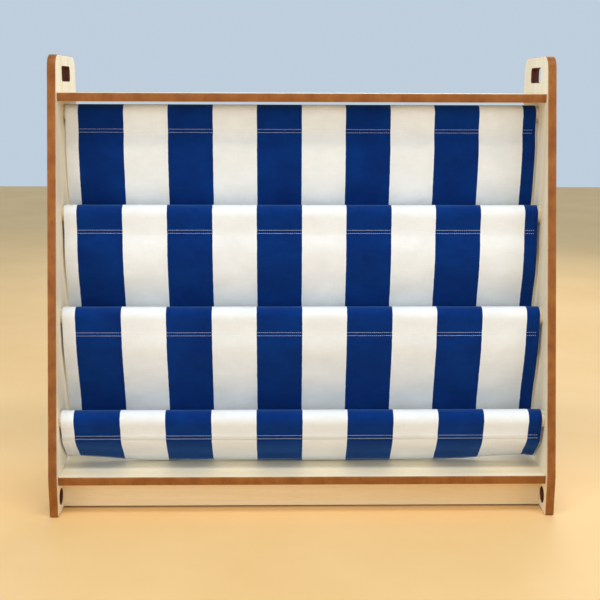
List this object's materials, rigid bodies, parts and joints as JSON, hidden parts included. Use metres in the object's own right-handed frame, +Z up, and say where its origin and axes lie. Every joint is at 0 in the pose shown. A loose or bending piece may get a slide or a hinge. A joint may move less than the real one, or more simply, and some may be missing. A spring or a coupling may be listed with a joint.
{
  "type": "children's sling bookshelf",
  "caption": "Freestanding children's bookshelf: leaning board side panels with carrying slots, a top and a bottom shelf, and a striped canvas sling hung over round rods in pockets.",
  "frame": {"origin": "on the floor, in the middle of the bookshelf's overall box", "axes": "+X to the right of someone facing the front, +Y from the front to the back, +Z up"},
  "size_m": [0.87, 0.306, 0.78],
  "materials": {
    "laminated_board": "pale wood-grain laminate faces with brown stained and sealed edges",
    "rod_wood": "sanded pale hardwood, clear matt lacquer",
    "canvas": "plain-weave cotton canvas in wide navy and off-white stripes, pale double stitching",
    "screw_steel": "zinc-plated countersunk heads with hexagon sockets",
    "dowel_wood": "plain beech, unfinished"
  },
  "bodies": {
    "root": {"left_side_panel": "laminated_board", "right_side_panel": "laminated_board", "top_shelf": "laminated_board", "bottom_shelf": "laminated_board", "toe_kick": "laminated_board", "sling_rod_1": "rod_wood", "sling_rod_2": "rod_wood", "sling_rod_3": "rod_wood", "sling_rod_4": "rod_wood", "sling_sleeve_1": "canvas", "sling_sleeve_2": "canvas", "sling_sleeve_3": "canvas", "sling_sleeve_4": "canvas", "sling_pocket_1": "canvas", "sling_pocket_2": "canvas", "sling_pocket_3": "canvas", "top_shelf_screw_left_front": "screw_steel", "top_shelf_screw_left_rear": "screw_steel", "bottom_shelf_screw_left_front": "screw_steel", "bottom_shelf_screw_left_rear": "screw_steel", "toe_kick_screw_left_middle": "screw_steel", "sling_rod_1_screw_left_end": "screw_steel", "sling_rod_2_screw_left_end": "screw_steel", "sling_rod_3_screw_left_end": "screw_steel", "sling_rod_4_screw_left_end": "screw_steel", "top_shelf_dowel_left": "dowel_wood", "bottom_shelf_dowel_left": "dowel_wood", "toe_kick_dowel_left": "dowel_wood", "top_shelf_screw_right_front": "screw_steel", "top_shelf_screw_right_rear": "screw_steel", "bottom_shelf_screw_right_front": "screw_steel", "bottom_shelf_screw_right_rear": "screw_steel", "toe_kick_screw_right_middle": "screw_steel", "sling_rod_1_screw_right_end": "screw_steel", "sling_rod_2_screw_right_end": "screw_steel", "sling_rod_3_screw_right_end": "screw_steel", "sling_rod_4_screw_right_end": "screw_steel", "top_shelf_dowel_right": "dowel_wood", "bottom_shelf_dowel_right": "dowel_wood", "toe_kick_dowel_right": "dowel_wood"}
  },
  "joints": []
}
